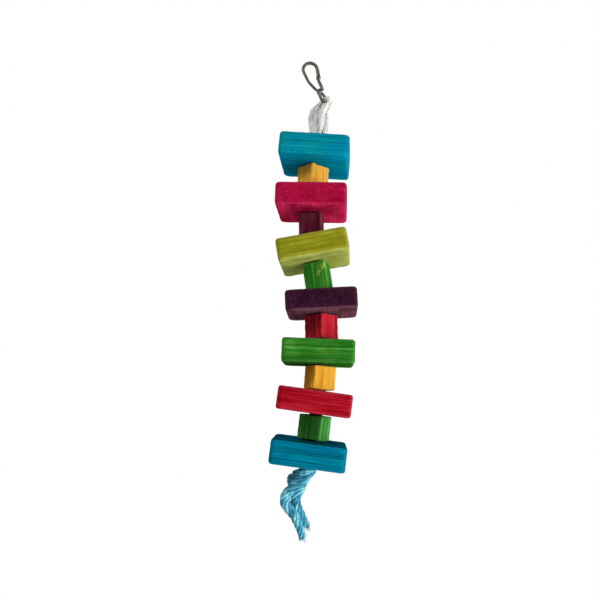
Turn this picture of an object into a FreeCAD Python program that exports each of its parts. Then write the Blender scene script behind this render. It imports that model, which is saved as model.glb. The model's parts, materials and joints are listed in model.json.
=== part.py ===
import FreeCAD, Part
import math
import os

# A hanging toy for a bird: seven flat dyed wooden blocks and six small wooden spacers, threaded on a
# doubled cotton rope. The rope is folded over the eye of a snap hook and knotted under the last block.
# The origin is where the hook's crown bears on whatever it hangs from, inside the loop. +Z is up and
# +X is to the right as seen from the front, which faces -Y. All lengths are in mm, angles in degrees.

# Blocks and spacers
BLOCK_WIDTH = 50.8
BLOCK_DEPTH = 50.0
BLOCK_THICK = 16.0
BLOCK_CORNER = 2.6
BLOCK_EDGE = 1.1
SPACER_SIDE = 17.6
SPACER_LENGTH = 18.4
SPACER_CORNER = 1.3
SPACER_EDGE = 0.6
BORE_CHAMFER = 0.5
SEAT_CLEARANCE = 0.3

# Rope: one cord, doubled, and its two free ends
ROPE_DIA = 5.0
LEG_GAP = 0.15
BORE_PLAY = 0.3
ENTRY_RISE = 4.0
EYE_CLEARANCE = 0.5
ARC_SHARE = 0.45
SHORTEST_RUN = 0.001
TAIL_DIA = 5.0
KNOT_CLEARANCE = 0.3
KNOT_CORE_RADIUS = 7.0
KNOT_WRAP_RADIUS = 5.8
KNOT_WRAP_DIA = 6.2
KNOT_WRAP_TILT = 24.0
KNOT_WRAP_STEP = 3.6
KNOT_HEIGHT = 16.8
KNOT_LEAN = 24.0
LEG_SINK = 5.0

# Snap hook: bent wire with a thicker crown and nose, a neck and a round eye
HOOK_LEAN = -26.5
WIRE_DIA = 2.1
CROWN_DIA = 2.5
NOSE_DIA = 2.9
CROWN_RADIUS = 5.3
SHOULDER_DROP = 1.6
SHOULDER_RADIUS = 9.0
WAIST_X = -5.1
WAIST_DROP = 13.0
WAIST_RADIUS = 18.0
BEND_X = -2.8
BEND_DROP = 19.8
NOSE_X = 3.4
NOSE_DROP = 13.2
LAP_HEIGHT = 1.6
LAP_SHIFT = 0.1
NECK_X = -1.1
NECK_DROP = 23.6
NECK_WIDTH = 3.4
NECK_HEIGHT = 4.6
NECK_DEPTH = 3.4
NECK_ROUND = 1.1
EYE_DROP = 29.9
EYE_RADIUS = 5.35
EYE_WIRE = 2.3
EYE_TURN = 60.0

# Gate: folded sheet arm on a pin, with a torsion spring
PIN_X = 2.3
PIN_DROP = 22.3
PIN_DIA = 1.0
PIN_PLAY = 0.05
PIN_HEAD_DIA = 1.7
PIN_HEAD_THICK = 0.35
GATE_SHEET = 0.4
GATE_WIDTH = 2.9
GATE_FLANGE = 2.0
EAR_RADIUS = 1.15
TONGUE_RADIUS = 0.9
GATE_TIP_GAP = 0.3
GATE_SIDE_GAP = 0.15
TONGUE_THICK = 0.8
SPRING_WIRE = 0.3
SPRING_TURNS = 1.25
SPRING_PITCH = 0.36
SPRING_PLAY = 0.1
SPRING_ASIDE = 0.2
SPRING_LEG = 3.0
SPRING_SET = 84.0
SPRING_FOOT = 1.5

X_AXIS = FreeCAD.Vector(1, 0, 0)
Y_AXIS = FreeCAD.Vector(0, 1, 0)
Z_AXIS = FreeCAD.Vector(0, 0, 1)
ORIGIN = FreeCAD.Vector(0, 0, 0)

# The string from the top down, as hand-cut pieces threaded by hand: name, kind, what the piece
# differs by in width, depth and length, its lean to the side, its nod to the front, its turn about
# the rope, and how far to the right of its bore its middle lies.
STRING = [
    ("block_turquoise", "block", 0.1, 2.0, 0.2, 2.25, -0.6, -4.3, 0.6),
    ("spacer_yellow_upper", "spacer", -0.1, -0.1, 0.47, 0.3, -0.3, -50.0, 0.0),
    ("block_crimson", "block", 0.5, 1.0, 0.5, -1.3, 0.0, -3.8, 0.5),
    ("spacer_plum", "spacer", -0.3, -0.3, 0.35, -3.7, -1.2, -7.0, 0.0),
    ("block_lime", "block", 0.0, 0.0, 0.2, -12.6, -3.9, -3.9, 0.2),
    ("spacer_green_upper", "spacer", -0.4, -0.4, 2.95, -10.9, -3.0, -15.6, 0.2),
    ("block_purple", "block", -0.3, -5.0, -1.2, -5.8, -2.6, -2.8, 0.9),
    ("spacer_red", "spacer", 0.3, 0.3, -0.45, -4.3, -1.5, -42.5, 0.0),
    ("block_green", "block", -0.3, -5.0, 0.65, -1.05, -0.4, -1.8, -2.0),
    ("spacer_yellow_lower", "spacer", 0.0, 0.0, -1.55, 1.3, -0.2, -67.0, 0.0),
    ("block_red", "block", 0.2, 0.0, -0.1, 4.65, -0.1, 0.4, -2.7),
    ("spacer_green_lower", "spacer", 0.6, 0.6, -1.25, 3.5, 0.9, -24.0, 0.0),
    ("block_blue", "block", 0.7, 2.0, 0.7, 4.05, 2.6, -1.7, -1.9),
]

# Corners cut rounder than the rest, as extra radius: left front, right front, right back, left back
ROUNDER_CORNERS = {
    "block_turquoise": (0.6, 1.0, 0.0, 2.0),
    "block_crimson": (0.0, 0.0, 1.0, 1.6),
    "block_lime": (0.4, 0.0, 1.0, 2.4),
    "block_purple": (0.8, 0.6, 1.4, 6.0),
    "block_green": (0.2, 0.6, 1.0, 5.4),
    "block_red": (0.6, 0.2, 0.8, 1.2),
    "block_blue": (0.6, 1.2, 1.6, 5.2),
}

# Where the rope enters the first block, from the origin
STRING_ASIDE = 9.4
STRING_BACK = 1.4
STRING_DROP = 64.5

# The loop of rope between the eye and the first block. The left leg bulges out to the back and the
# right leg to the front, by these lengths from the middle of the eye's lowest wire.
LEFT_OUT = 8.4
LEFT_BACK = 4.6
LEFT_DROP = 6.6
RIGHT_OUT = 2.0
RIGHT_FRONT = 2.9
RIGHT_DROP = 8.2
CROWN_STEPS = 30

# The middle of the knot, from the end of the last bore
KNOT_ASIDE = 4.6
KNOT_BACK = 0.6

# The two free ends, as offsets from the middle of the knot
LEFT_TAIL = [
    FreeCAD.Vector(-3.4, -1.6, -4.2),
    FreeCAD.Vector(-8.1, -2.2, -8.4),
    FreeCAD.Vector(-11.5, -2.2, -13.4),
    FreeCAD.Vector(-10.8, -2.0, -18.6),
    FreeCAD.Vector(-5.8, -1.9, -23.2),
    FreeCAD.Vector(-2.1, -1.6, -28.7),
    FreeCAD.Vector(0.8, -1.0, -34.6),
    FreeCAD.Vector(2.8, -1.2, -41.0),
]
RIGHT_TAIL = [
    FreeCAD.Vector(-0.3, 1.9, -5.9),
    FreeCAD.Vector(-3.1, 2.2, -11.1),
    FreeCAD.Vector(-4.3, 2.2, -16.0),
    FreeCAD.Vector(-2.3, 2.2, -21.0),
    FreeCAD.Vector(1.2, 1.7, -26.3),
    FreeCAD.Vector(5.4, 1.2, -33.6),
]

# Sizes and places worked out from the values above
STRING_TOP = FreeCAD.Vector(STRING_ASIDE, STRING_BACK, -STRING_DROP)
LEFT_BULGE = FreeCAD.Vector(-LEFT_OUT, LEFT_BACK, -LEFT_DROP)
RIGHT_BULGE = FreeCAD.Vector(RIGHT_OUT, -RIGHT_FRONT, -RIGHT_DROP)
KNOT_OFFSET = FreeCAD.Vector(-KNOT_ASIDE, KNOT_BACK, -KNOT_HEIGHT / 2)
LEG_SPREAD = ROPE_DIA + LEG_GAP
BORE_DIA = LEG_SPREAD + ROPE_DIA + 2 * BORE_PLAY


def turned(shape, lean, nod, turn, place):
    """Turn a shape about its own upright axis, nod it, lean it and move it to its place."""
    shape.rotate(ORIGIN, Z_AXIS, turn)
    shape.rotate(ORIGIN, X_AXIS, nod)
    shape.rotate(ORIGIN, Y_AXIS, lean)
    shape.translate(place)
    return shape


def down_direction(lean, nod):
    """The way down along a piece that leans and nods."""
    lean = math.radians(lean)
    nod = math.radians(nod)
    up = FreeCAD.Vector(math.sin(lean) * math.cos(nod), -math.sin(nod), math.cos(lean) * math.cos(nod))
    return up * -1.0


def rounded_prism(width, depth, length, radii):
    """An upright prism about the origin with its own radius at each of its four upright corners."""
    signs = [(-1, -1), (1, -1), (1, 1), (-1, 1)]
    ways = [(1, 0), (0, 1), (-1, 0), (0, -1)]
    edges = []
    ends = []
    for (sx, sy), (wx, wy), radius in zip(signs, ways, radii):
        corner = FreeCAD.Vector(sx * width / 2, sy * depth / 2, -length / 2)
        along = FreeCAD.Vector(wx, wy, 0)
        before = FreeCAD.Vector(-wy, wx, 0)
        centre = corner + along * radius + before * radius
        middle = centre - (along + before) * (radius / math.sqrt(2))
        ends.append((corner + before * radius, middle, corner + along * radius))
    for number, (start, middle, end) in enumerate(ends):
        edges.append(Part.Arc(start, middle, end).toShape())
        following = ends[(number + 1) % len(ends)][0]
        edges.append(Part.LineSegment(end, following).toShape())
    return Part.Face(Part.Wire(edges)).extrude(FreeCAD.Vector(0, 0, length))


def end_edges(shape, length):
    """The edges that lie in a prism's two end faces."""
    found = []
    for edge in shape.Edges:
        box = edge.BoundBox
        if box.ZLength < 0.001 and abs(abs(box.ZMin) - length / 2) < 0.001:
            found.append(edge)
    return found


def bored_piece(body, length, offset):
    """A wooden piece about its bore: an eased prism with a drilled, chamfered hole."""
    body.translate(FreeCAD.Vector(offset, 0, 0))
    bore_radius = BORE_DIA / 2
    drill = Part.makeCylinder(bore_radius, length, FreeCAD.Vector(0, 0, -length / 2))
    mouth_radius = bore_radius + BORE_CHAMFER
    upper = Part.makeCone(bore_radius, mouth_radius, BORE_CHAMFER,
                          FreeCAD.Vector(0, 0, length / 2 - BORE_CHAMFER))
    lower = Part.makeCone(mouth_radius, bore_radius, BORE_CHAMFER,
                          FreeCAD.Vector(0, 0, -length / 2))
    return body.cut(drill).cut(upper).cut(lower)


def piece_size(row):
    """Width, depth and length of one piece on the string."""
    if row[1] == "block":
        return BLOCK_WIDTH + row[2], BLOCK_DEPTH + row[3], BLOCK_THICK + row[4]
    return SPACER_SIDE + row[2], SPACER_SIDE + row[3], SPACER_LENGTH + row[4]


def gap_between(upper, lower):
    """Room between two neighbours, so that the corners of the spacer clear the block at any turn."""
    spacer = upper if upper[1] == "spacer" else lower
    width, depth, _ = piece_size(spacer)
    reach = math.hypot(width, depth) / 2 - SPACER_CORNER * (math.sqrt(2) - 1) - SPACER_EDGE
    cosine = down_direction(upper[5], upper[6]).dot(down_direction(lower[5], lower[6]))
    tilt = math.acos(min(1.0, cosine))
    return SEAT_CLEARANCE + reach * math.tan(tilt)


def thread_string():
    """Place every piece down the rope, and give the points where the rope bends between them."""
    point = STRING_TOP
    bends = [point - down_direction(*STRING[0][5:7]) * ENTRY_RISE]
    placed = []
    for number, row in enumerate(STRING):
        way = down_direction(row[5], row[6])
        length = piece_size(row)[2]
        above = gap_between(STRING[number - 1], row) / 2 if number else 0.0
        below = gap_between(row, STRING[number + 1]) / 2 if number + 1 < len(STRING) else KNOT_CLEARANCE
        placed.append((row, point + way * (above + length / 2)))
        point = point + way * (above + length + below)
        bends.append(point)
    return placed, bends


def arc_path(points, radii):
    """A wire of straight runs joined by tangent arcs, and the radii that the arcs have."""
    edges = []
    used = []
    start = points[0]
    for number in range(1, len(points) - 1):
        back = points[number - 1] - points[number]
        ahead = points[number + 1] - points[number]
        half_turn = (math.pi - back.getAngle(ahead)) / 2
        radius = radii[number - 1]
        if radius is None:
            radius = ARC_SHARE * min(back.Length, ahead.Length) / math.tan(half_turn)
        reach = radius * math.tan(half_turn)
        back.normalize()
        ahead.normalize()
        into = points[number] + back * reach
        out = points[number] + ahead * reach
        inward = back + ahead
        inward.normalize()
        middle = points[number] + inward * (radius / math.cos(half_turn) - radius)
        if (into - start).Length > SHORTEST_RUN:
            edges.append(Part.LineSegment(start, into).toShape())
        edges.append(Part.Arc(into, middle, out).toShape())
        used.append((round(radius, 1), round(math.degrees(2 * half_turn), 1)))
        start = out
    edges.append(Part.LineSegment(start, points[-1]).toShape())
    return Part.Wire(edges), used


def tube(name, points, diameter, fixed_radii):
    """A round cord along its route. Its arcs are as large as their runs allow, unless fixed."""
    radii = [fixed_radii.get(number) for number in range(1, len(points) - 1)]
    path, used = arc_path(points, radii)
    profile = Part.Wire([Part.makeCircle(diameter / 2, points[0], points[1] - points[0])])
    solid = path.makePipeShell([profile], True, False)
    expected = path.Length * math.pi * diameter ** 2 / 4
    print(name, round(path.Length, 1), "mm, volume ratio", round(solid.Volume / expected, 4))
    print("  radius and turn:", used)
    return solid


def eye_up():
    """The steepest way up in the plane of the hook's eye."""
    lean = math.radians(HOOK_LEAN)
    turn = math.radians(EYE_TURN)
    across = FreeCAD.Vector(math.cos(turn) * math.cos(lean), math.sin(turn), -math.cos(turn) * math.sin(lean))
    along = FreeCAD.Vector(math.sin(lean), 0, math.cos(lean))
    up = across * across.z + along * along.z
    up.normalize()
    return up


def eye_foot():
    """The middle of the wire at the lowest point of the hook's eye."""
    lean = math.radians(HOOK_LEAN)
    centre = FreeCAD.Vector(-EYE_DROP * math.sin(lean), 0, -EYE_DROP * math.cos(lean))
    return centre - eye_up() * EYE_RADIUS


def leg_side():
    """The level way from the rope's left leg to its right leg, square to the eye's lowest wire."""
    side = eye_up()
    side.z = 0
    side.normalize()
    return side * -1.0


def crown_corner_radius():
    """The radius of the rope's middle line where it goes round the eye's wire."""
    return (EYE_WIRE + ROPE_DIA) / 2 + EYE_CLEARANCE


def crown_corner(side, bulge):
    """The corner of the rope's route on one side of its top, so that its arc begins at the top."""
    top = eye_foot() + Z_AXIS * crown_corner_radius()
    corner = top
    for _ in range(CROWN_STEPS):
        turn = side.getAngle(eye_foot() + bulge - corner)
        corner = top + side * (crown_corner_radius() * math.tan(turn / 2))
    return corner


def rope_route(bends):
    """The doubled rope: up the left leg, round the eye's lowest wire and down the right leg."""
    side = leg_side()
    foot = eye_foot()
    left_top = crown_corner(side * -1.0, LEFT_BULGE)
    right_top = crown_corner(side, RIGHT_BULGE)
    left_leg = [bend - side * (LEG_SPREAD / 2) for bend in bends]
    right_leg = [bend + side * (LEG_SPREAD / 2) for bend in bends]
    sink = down_direction(*STRING[-1][5:7]) * LEG_SINK
    left_leg[-1] = left_leg[-1] + sink
    right_leg[-1] = right_leg[-1] + sink
    upward = list(reversed(left_leg)) + [foot + LEFT_BULGE, left_top]
    return upward + [right_top, foot + RIGHT_BULGE] + right_leg


def knot_centre(bends):
    """The middle of the knot under the last block."""
    return bends[-1] + KNOT_OFFSET


def make_knot(bends):
    """The knot: a barrel of rope with two wraps lying across it, flat where it meets the block."""
    core = Part.makeSphere(KNOT_CORE_RADIUS)
    wraps = []
    for side in (-1, 1):
        wrap = Part.makeTorus(KNOT_WRAP_RADIUS, KNOT_WRAP_DIA / 2)
        wrap.rotate(ORIGIN, X_AXIS, side * KNOT_WRAP_TILT)
        wrap.translate(FreeCAD.Vector(0, 0, side * KNOT_WRAP_STEP))
        wraps.append(wrap)
    body = core.fuse(wraps)
    body.rotate(ORIGIN, Y_AXIS, KNOT_LEAN)
    body.translate(knot_centre(bends))
    reach = BLOCK_WIDTH
    above = Part.makeBox(reach, reach, reach, FreeCAD.Vector(-reach / 2, -reach / 2, 0))
    above = turned(above, STRING[-1][5], STRING[-1][6], 0, bends[-1])
    return body.cut(above).removeSplitter()


def crown_height():
    """The height of the middle of the crown's bend, below the bearing point."""
    return -(CROWN_RADIUS - CROWN_DIA / 2)


def hook_path():
    """The bent wire's middle line, from the nose over the crown and down to the neck."""
    crown = crown_height()
    points = [
        FreeCAD.Vector(NOSE_X, 0, -NOSE_DROP),
        FreeCAD.Vector(CROWN_RADIUS, 0, crown - SHOULDER_DROP),
        FreeCAD.Vector(CROWN_RADIUS, 0, crown + CROWN_RADIUS),
        FreeCAD.Vector(-CROWN_RADIUS, 0, crown + CROWN_RADIUS),
        FreeCAD.Vector(WAIST_X, 0, -WAIST_DROP),
        FreeCAD.Vector(BEND_X, 0, -BEND_DROP),
        FreeCAD.Vector(NECK_X, 0, -NECK_DROP),
    ]
    return points, [SHOULDER_RADIUS, CROWN_RADIUS, CROWN_RADIUS, WAIST_RADIUS, WAIST_RADIUS]


def hook_wire():
    """The bent wire as one sweep that is thickest at the nose, with a rounded tip."""
    points, radii = hook_path()
    path, _ = arc_path(points, radii)
    down = points[1] - points[0]
    nose = Part.Wire([Part.makeCircle(NOSE_DIA / 2, points[0], down)])
    crown_top = FreeCAD.Vector(0, 0, crown_height() + CROWN_RADIUS)
    crown = Part.Wire([Part.makeCircle(CROWN_DIA / 2, crown_top, X_AXIS)])
    neck = Part.Wire([Part.makeCircle(WIRE_DIA / 2, points[-1], points[-1] - points[-2])])
    wire = path.makePipeShell([nose, crown, neck], True, False)
    tip = Part.makeSphere(NOSE_DIA / 2, points[0])
    return wire.fuse(tip)


def hook_body():
    """Wire, neck, tongue for the pin and round eye, as one piece."""
    neck = Part.makeBox(NECK_WIDTH, NECK_DEPTH, NECK_HEIGHT,
                        FreeCAD.Vector(NECK_X - NECK_WIDTH / 2, -NECK_DEPTH / 2, -NECK_DROP - NECK_HEIGHT / 2))
    neck = neck.makeFillet(NECK_ROUND, neck.Edges)
    tongue_length = PIN_X - NECK_X
    tongue_place = FreeCAD.Vector(NECK_X, tongue_front(), -PIN_DROP - TONGUE_RADIUS)
    tongue = Part.makeBox(tongue_length, TONGUE_THICK, 2 * TONGUE_RADIUS, tongue_place)
    boss_place = FreeCAD.Vector(PIN_X, tongue_front(), -PIN_DROP)
    tongue = tongue.fuse(Part.makeCylinder(TONGUE_RADIUS, TONGUE_THICK, boss_place, Y_AXIS))
    eye = Part.makeTorus(EYE_RADIUS, EYE_WIRE / 2)
    eye.rotate(ORIGIN, X_AXIS, 90)
    eye.rotate(ORIGIN, Z_AXIS, EYE_TURN)
    eye.translate(FreeCAD.Vector(0, 0, -EYE_DROP))
    stem_top = FreeCAD.Vector(NECK_X, 0, -NECK_DROP)
    stem_foot = FreeCAD.Vector(0, 0, -EYE_DROP + EYE_RADIUS)
    stem = Part.makeCylinder(EYE_WIRE / 2, (stem_foot - stem_top).Length, stem_top, stem_foot - stem_top)
    body = hook_wire().fuse([neck, tongue, eye, stem])
    lap = Part.makeBox(NOSE_DIA, 2 * NOSE_DIA, LAP_HEIGHT + NOSE_DIA,
                       FreeCAD.Vector(gate_back() + GATE_TIP_GAP - NOSE_DIA, -NOSE_DIA,
                                      -NOSE_DROP - NOSE_DIA))
    pin_hole = Part.makeCylinder(PIN_DIA / 2 + PIN_PLAY, NECK_DEPTH,
                                 FreeCAD.Vector(PIN_X, -NECK_DEPTH / 2, -PIN_DROP), Y_AXIS)
    return body.cut([lap, pin_hole]).removeSplitter()


def tongue_front():
    """The front face of the tongue, which leaves room for the spring behind it."""
    return -GATE_WIDTH / 2 + GATE_SHEET + GATE_SIDE_GAP


def gate_back():
    """How far to the right the outer face of the gate's sheet stands."""
    return NOSE_X + LAP_SHIFT


def hook_gate():
    """The gate: sheet folded to a channel that is open to the inside of the loop, with two ears."""
    half = GATE_WIDTH / 2
    top = -NOSE_DROP + LAP_HEIGHT - GATE_TIP_GAP
    foot = -PIN_DROP
    right = gate_back()
    outer = Part.makeBox(GATE_FLANGE, GATE_WIDTH, top - foot, FreeCAD.Vector(right - GATE_FLANGE, -half, foot))
    folds = [edge for edge in outer.Edges
             if edge.BoundBox.ZLength > 1 and abs(edge.BoundBox.XMin - right) < 0.01]
    outer = outer.makeFillet(GATE_SHEET * 2, folds)
    ears = Part.makeCylinder(EAR_RADIUS, GATE_WIDTH, FreeCAD.Vector(PIN_X, -half, foot), Y_AXIS)
    channel = outer.fuse(ears)
    room = GATE_WIDTH - 2 * GATE_SHEET
    inside = Part.makeBox(GATE_FLANGE, room, top - foot,
                          FreeCAD.Vector(right - GATE_FLANGE - GATE_SHEET, -room / 2, foot))
    below = Part.makeBox(4 * EAR_RADIUS, room, 2 * EAR_RADIUS + TONGUE_RADIUS,
                         FreeCAD.Vector(PIN_X - 2 * EAR_RADIUS, -room / 2, foot - 2 * EAR_RADIUS))
    swing_room = Part.makeCylinder(TONGUE_RADIUS + 2 * GATE_SIDE_GAP + GATE_SHEET, room,
                                   FreeCAD.Vector(PIN_X, -room / 2, foot), Y_AXIS)
    hole = Part.makeCylinder(PIN_DIA / 2 + PIN_PLAY, GATE_WIDTH, FreeCAD.Vector(PIN_X, -half, foot), Y_AXIS)
    return channel.cut([inside, below, swing_room, hole]).removeSplitter()


def gate_pin():
    """The gate's rivet, with a low head outside each ear."""
    half = GATE_WIDTH / 2 + GATE_SIDE_GAP
    foot = FreeCAD.Vector(PIN_X, -half, -PIN_DROP)
    pin = Part.makeCylinder(PIN_DIA / 2, 2 * half, foot, Y_AXIS)
    front = Part.makeCylinder(PIN_HEAD_DIA / 2, PIN_HEAD_THICK,
                              FreeCAD.Vector(PIN_X, -half - PIN_HEAD_THICK, -PIN_DROP), Y_AXIS)
    back = Part.makeCylinder(PIN_HEAD_DIA / 2, PIN_HEAD_THICK, FreeCAD.Vector(PIN_X, half, -PIN_DROP), Y_AXIS)
    pin = pin.fuse([front, back])
    rims = [edge for edge in pin.Edges
            if abs(abs(edge.BoundBox.YMin) - half - PIN_HEAD_THICK) < 0.001 and edge.BoundBox.YLength < 0.001
            and edge.BoundBox.ZLength > 1.2 * PIN_DIA]
    return pin.makeFillet(PIN_HEAD_THICK / 2, rims)


def gate_spring():
    """The gate's torsion spring: one leg on the neck, a turn round the pin, one leg up the gate."""
    coil_radius = PIN_DIA / 2 + SPRING_PLAY + SPRING_WIRE / 2
    height = SPRING_TURNS * SPRING_PITCH
    helix = Part.makeHelix(SPRING_PITCH, height, coil_radius)
    start = FreeCAD.Vector(coil_radius, 0, 0)
    profile = Part.Wire([Part.makeCircle(SPRING_WIRE / 2, start, Y_AXIS)])
    coil = Part.Wire(helix.Edges).makePipeShell([profile], True, True)
    if coil.Volume < 0:
        coil.reverse()
    gate_leg = Part.makeCylinder(SPRING_WIRE / 2, SPRING_LEG, FreeCAD.Vector(0, coil_radius, height), X_AXIS * -1.0)
    neck_leg = Part.makeCylinder(SPRING_WIRE / 2, SPRING_FOOT, start, Y_AXIS * -1.0)
    spring = coil.fuse([gate_leg, neck_leg])
    spring.rotate(ORIGIN, X_AXIS, 90)
    spring.rotate(ORIGIN, Y_AXIS, SPRING_SET)
    back = tongue_front() + TONGUE_THICK + SPRING_ASIDE + SPRING_WIRE / 2 + height
    spring.translate(FreeCAD.Vector(PIN_X, back, -PIN_DROP))
    return spring


def leaned(shape):
    """Lean a part of the hook with the whole hook."""
    shape.rotate(ORIGIN, Y_AXIS, HOOK_LEAN)
    return shape


def main():
    os.makedirs("parts", exist_ok=True)
    placed, bends = thread_string()
    print("eye foot", eye_foot(), "leg side", leg_side(), "knot", knot_centre(bends))
    shapes = {}
    for row, centre in placed:
        width, depth, length = piece_size(row)
        if row[1] == "block":
            radii = [BLOCK_CORNER + extra for extra in ROUNDER_CORNERS[row[0]]]
            body = rounded_prism(width, depth, length, radii)
            body = body.makeFillet(BLOCK_EDGE, end_edges(body, length))
        else:
            body = rounded_prism(width, depth, length, [SPACER_CORNER] * 4)
            body = body.makeChamfer(SPACER_EDGE, end_edges(body, length))
        piece = bored_piece(body, length, row[8])
        shapes[row[0]] = turned(piece, row[5], row[6], row[7], centre)
    crown_corners = {len(bends) + 1: crown_corner_radius(), len(bends) + 2: crown_corner_radius()}
    shapes["rope"] = tube("rope", rope_route(bends), ROPE_DIA, crown_corners)
    shapes["rope_knot"] = make_knot(bends)
    for name, route in (("rope_tail_left", LEFT_TAIL), ("rope_tail_right", RIGHT_TAIL)):
        points = [knot_centre(bends) + offset for offset in route]
        shapes[name] = tube(name, points, TAIL_DIA, {})
    shapes["hook_body"] = leaned(hook_body())
    shapes["hook_gate"] = leaned(hook_gate())
    shapes["gate_pin"] = leaned(gate_pin())
    shapes["gate_spring"] = leaned(gate_spring())
    for name, shape in shapes.items():
        shape.exportStep("parts/" + name + ".step")


main()
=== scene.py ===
import bpy
import bmesh
import json
import math
import numpy as np
from mathutils import Matrix, Vector


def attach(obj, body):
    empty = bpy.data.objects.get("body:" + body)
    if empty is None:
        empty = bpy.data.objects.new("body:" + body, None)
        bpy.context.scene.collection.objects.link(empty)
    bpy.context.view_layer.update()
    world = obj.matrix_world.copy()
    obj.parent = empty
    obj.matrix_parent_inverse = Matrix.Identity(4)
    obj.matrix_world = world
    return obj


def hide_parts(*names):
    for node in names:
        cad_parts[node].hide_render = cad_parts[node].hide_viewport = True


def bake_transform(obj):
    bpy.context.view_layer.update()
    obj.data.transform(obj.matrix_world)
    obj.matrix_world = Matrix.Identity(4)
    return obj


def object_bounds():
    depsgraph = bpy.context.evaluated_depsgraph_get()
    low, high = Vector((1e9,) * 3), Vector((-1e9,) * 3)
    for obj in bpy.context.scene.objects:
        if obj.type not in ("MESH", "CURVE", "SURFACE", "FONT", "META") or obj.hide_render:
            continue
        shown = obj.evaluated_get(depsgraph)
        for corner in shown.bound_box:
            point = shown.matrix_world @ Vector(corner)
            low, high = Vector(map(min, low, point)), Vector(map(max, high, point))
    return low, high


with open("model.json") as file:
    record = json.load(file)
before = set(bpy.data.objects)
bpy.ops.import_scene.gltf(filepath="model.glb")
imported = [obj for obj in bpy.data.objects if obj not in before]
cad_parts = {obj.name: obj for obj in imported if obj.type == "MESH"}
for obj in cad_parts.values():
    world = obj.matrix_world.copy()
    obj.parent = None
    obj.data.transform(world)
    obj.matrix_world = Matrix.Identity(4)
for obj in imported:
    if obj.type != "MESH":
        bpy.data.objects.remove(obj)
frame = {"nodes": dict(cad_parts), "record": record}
CAD_LOW, CAD_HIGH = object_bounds()
RECORD = frame["record"]
NODES = frame["nodes"]
DICE = np.random.default_rng(7)
TURN = 2 * math.pi
SAME_PLACE = 1e-6


def srgb(red, green, blue):
    """A colour read as screen values from 0 to 255, as the linear values that a shader takes."""
    return tuple(((value / 255 + 0.055) / 1.055) ** 2.4 if value > 10 else value / 255 / 12.92
                 for value in (red, green, blue))


# The camera has the photograph's own view, fitted to the corners of the seven blocks.
CAMERA_PLACE = (0.008865, -0.489530, -0.262575)
CAMERA_RIGHT = (0.998391, 0.0, 0.056693)
CAMERA_UP = (-0.055944, -0.161971, 0.985208)
CAMERA_BACK = (0.009183, -0.986796, -0.161710)
CAMERA_LENS = 41.184
CAMERA_SENSOR = 36.0
CAMERA_NEAR = 0.01

# The rope's routes, in metres: the two free ends, the rope through the blocks and over the eye, and the
# two ropes that cross in the knot.
LEFT_TAIL = [
    (0.00965, -0.00302, -0.31086),
    (0.00495, -0.00362, -0.31506),
    (0.00155, -0.00362, -0.32006),
    (0.00225, -0.00342, -0.32526),
    (0.00725, -0.00332, -0.32986),
    (0.01095, -0.00302, -0.33536),
    (0.01385, -0.00242, -0.34126),
    (0.01585, -0.00262, -0.34766),
]
RIGHT_TAIL = [
    (0.01275, 0.00048, -0.31256),
    (0.00995, 0.00078, -0.31776),
    (0.00875, 0.00078, -0.32266),
    (0.01075, 0.00078, -0.32766),
    (0.01425, 0.00028, -0.33296),
    (0.01845, -0.00022, -0.34026),
]
ROPE_ROUTE = [
    (0.01513, -0.00040, -0.30324),
    (0.01671, -0.00141, -0.28099),
    (0.01779, -0.00169, -0.26323),
    (0.01914, -0.00166, -0.24660),
    (0.01955, -0.00160, -0.22889),
    (0.01923, -0.00148, -0.21137),
    (0.01782, -0.00098, -0.19265),
    (0.01622, -0.00027, -0.17696),
    (0.01201, 0.00090, -0.15507),
    (0.00818, 0.00210, -0.13794),
    (0.00688, 0.00252, -0.11777),
    (0.00648, 0.00252, -0.10055),
    (0.00659, 0.00262, -0.08103),
    (0.00739, 0.00284, -0.06050),
    (0.00668, 0.00348, -0.03829),
    (0.01324, 0.00007, -0.02754),
    (0.01898, -0.00364, -0.02754),
    (0.01708, -0.00402, -0.03989),
    (0.01172, 0.00005, -0.06050),
    (0.01091, -0.00017, -0.08103),
    (0.01081, -0.00027, -0.10055),
    (0.01120, -0.00027, -0.11777),
    (0.01251, -0.00069, -0.13794),
    (0.01634, -0.00189, -0.15507),
    (0.02055, -0.00306, -0.17696),
    (0.02215, -0.00378, -0.19265),
    (0.02355, -0.00427, -0.21137),
    (0.02387, -0.00439, -0.22889),
    (0.02347, -0.00445, -0.24660),
    (0.02212, -0.00448, -0.26323),
    (0.02103, -0.00420, -0.28099),
    (0.01946, -0.00319, -0.30324),
]
KNOT_LEGS = [
    [
        (0.01630, -0.00100, -0.29750),
        (0.01790, -0.00400, -0.30150),
        (0.01560, -0.00640, -0.30560),
        (0.01130, -0.00600, -0.30960),
        (0.00720, -0.00440, -0.31340),
        (0.00400, -0.00370, -0.31680),
    ],
    [
        (0.01920, -0.00300, -0.29750),
        (0.01900, 0.00080, -0.30200),
        (0.01560, 0.00260, -0.30660),
        (0.01260, 0.00160, -0.31160),
        (0.01060, 0.00080, -0.31600),
    ],
]
# The two loops of rope drawn round the knot: centre, tilt in degrees, radius and start angle.
KNOT_WRAPS = [
    ((0.0138, -0.0018, -0.3024), 18.0, 0.0060, 0.6),
    ((0.0100, -0.0014, -0.3068), 24.0, 0.0057, 2.2),
]
WRAP_POINTS = 80
WRAP_TURNS = 1.075
WRAP_RISE = 0.0012

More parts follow.
